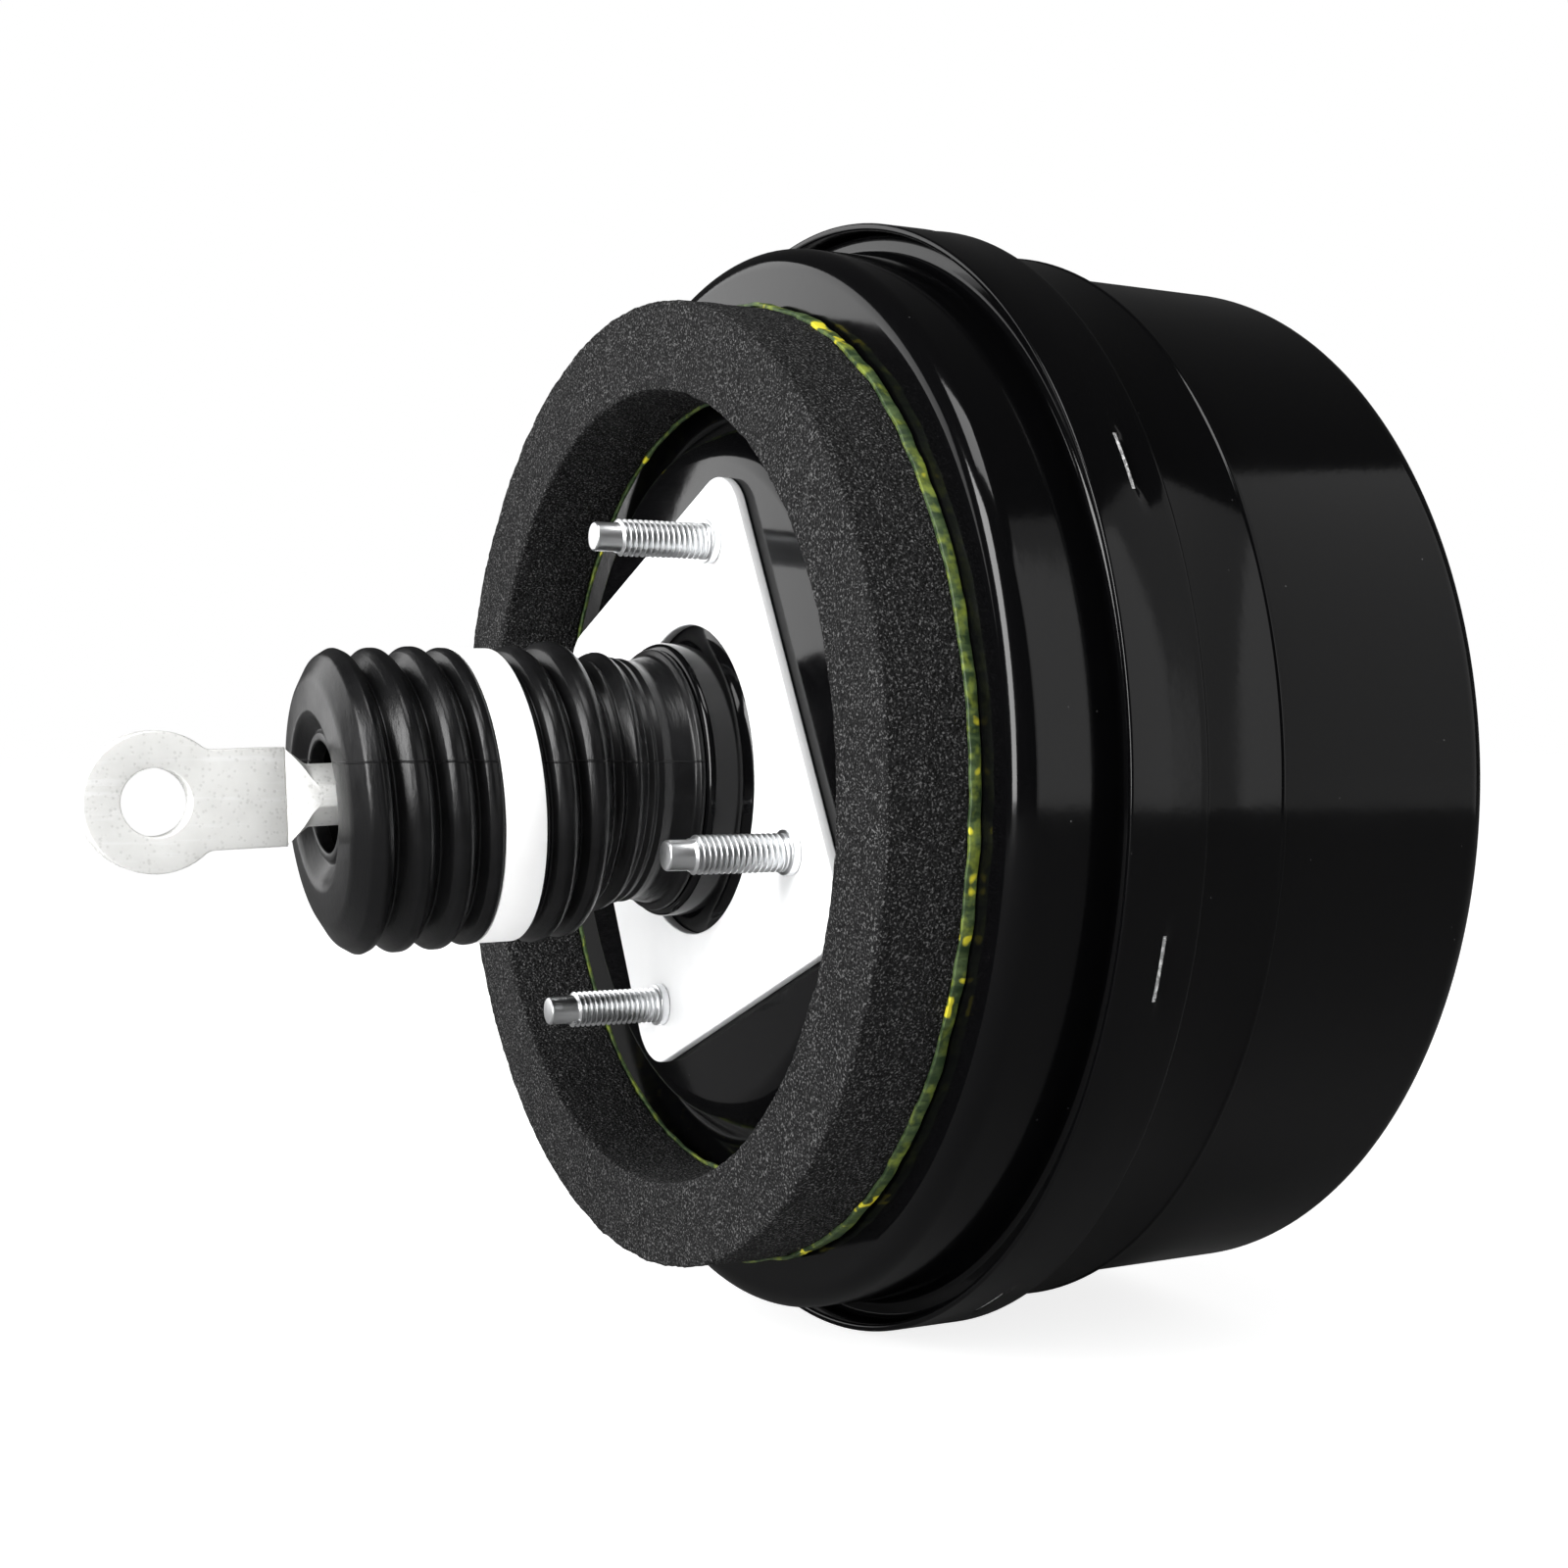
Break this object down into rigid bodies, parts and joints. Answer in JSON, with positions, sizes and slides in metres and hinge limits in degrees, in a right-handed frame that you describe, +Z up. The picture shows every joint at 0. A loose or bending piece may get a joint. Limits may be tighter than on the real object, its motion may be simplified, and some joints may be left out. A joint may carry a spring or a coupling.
{
  "type": "vacuum brake booster",
  "caption": "Round black sheet-steel vacuum brake booster with ribbed rubber boot, plated pedal rod with an eye, plated mounting plate with studs and a foam ring.",
  "frame": {"origin": "centre of the firewall stud pattern, on the pedal side of the mounting plate", "axes": "+Y forward along the booster's axis towards the master cylinder, +Z up, +X to the right of somebody who looks from above with the pedal below"},
  "size_m": [0.25, 0.2844, 0.25],
  "materials": {
    "black_paint": "gloss black",
    "zinc_plate": "bright zinc plated sheet",
    "zinc_bright": "bright zinc plated",
    "forged_steel": "forged, tumbled and plated",
    "foam": "open cell foam, matt black",
    "black_rubber": "matt black",
    "band_white": "white woven band",
    "liner_film": "green film with yellow streaks",
    "phenolic": "dark brown moulding",
    "pale_plastic": "natural moulding",
    "black_plastic": "moulded black",
    "spring_steel": "oiled wire",
    "filter_felt": "felt"
  },
  "bodies": {
    "housing": {"rear_shell": "black_paint", "front_shell": "black_paint", "mounting_plate": "zinc_plate", "firewall_studs": "zinc_bright", "foam_gasket": "foam", "gasket_liner": "liner_film", "rear_bearing": "pale_plastic", "rear_seal": "black_rubber", "centre_plate": "zinc_bright", "centre_seal": "black_rubber", "rear_diaphragm": "black_rubber", "front_diaphragm": "black_rubber", "return_spring": "spring_steel", "dust_boot": "black_rubber", "front_reinforcement": "zinc_bright", "front_seal": "black_rubber", "master_cylinder_studs": "zinc_bright", "check_valve_housing": "black_plastic", "check_valve_grommet": "black_rubber", "check_valve_spring": "spring_steel"},
    "power_piston": {"valve_body": "phenolic", "rear_diaphragm_plate": "zinc_bright", "front_diaphragm_plate": "zinc_bright", "plate_retainer": "spring_steel", "stop_key": "spring_steel", "reaction_disc": "black_rubber", "output_rod": "zinc_bright", "output_rod_adjuster": "zinc_bright", "poppet_valve": "black_rubber", "poppet_retainer": "spring_steel", "poppet_spring": "spring_steel", "valve_return_spring": "spring_steel", "air_filter": "filter_felt", "filter_retainer": "black_plastic"},
    "valve_plunger": {"valve_plunger": "zinc_bright"},
    "input_rod": {"input_rod": "forged_steel", "rod_spring_seat": "spring_steel"},
    "boot_band": {"boot_band": "band_white"},
    "check_valve_disc": {"check_valve_disc": "black_rubber"}
  },
  "joints": [
    {"name": "piston_slide", "type": "slide", "parent": "housing", "child": "power_piston", "axis": [0, 1, 0], "range_m": [0, 0.035], "stiffness_N_per_m": 3000, "springref_m": -0.05, "deforming": ["return_spring", "rear_diaphragm", "front_diaphragm", "dust_boot"]},
    {"name": "plunger_slide", "type": "slide", "parent": "power_piston", "child": "valve_plunger", "axis": [0, 1, 0], "range_m": [0, 0.0018], "stiffness_N_per_m": 1500, "springref_m": -0.01, "deforming": ["poppet_valve", "poppet_spring", "valve_return_spring"]},
    {"name": "rod_swing", "type": "hinge", "parent": "valve_plunger", "child": "input_rod", "pos_m": [0, -0.008, 0], "axis": [1, 0, 0], "range_deg": [-3.8, 0]},
    {"name": "boot_band_slide", "type": "slide", "parent": "housing", "child": "boot_band", "axis": [0, 1, 0], "range_m": [0, 0.0183]},
    {"name": "check_disc_slide", "type": "slide", "parent": "housing", "child": "check_valve_disc", "axis": [0, 1, 0], "range_m": [0, 0.0015], "stiffness_N_per_m": 100, "springref_m": -0.002, "deforming": ["check_valve_spring"]}
  ],
  "couplings": [
    {"joint": "boot_band_slide", "follows": "piston_slide", "ratio": 0.523}
  ]
}
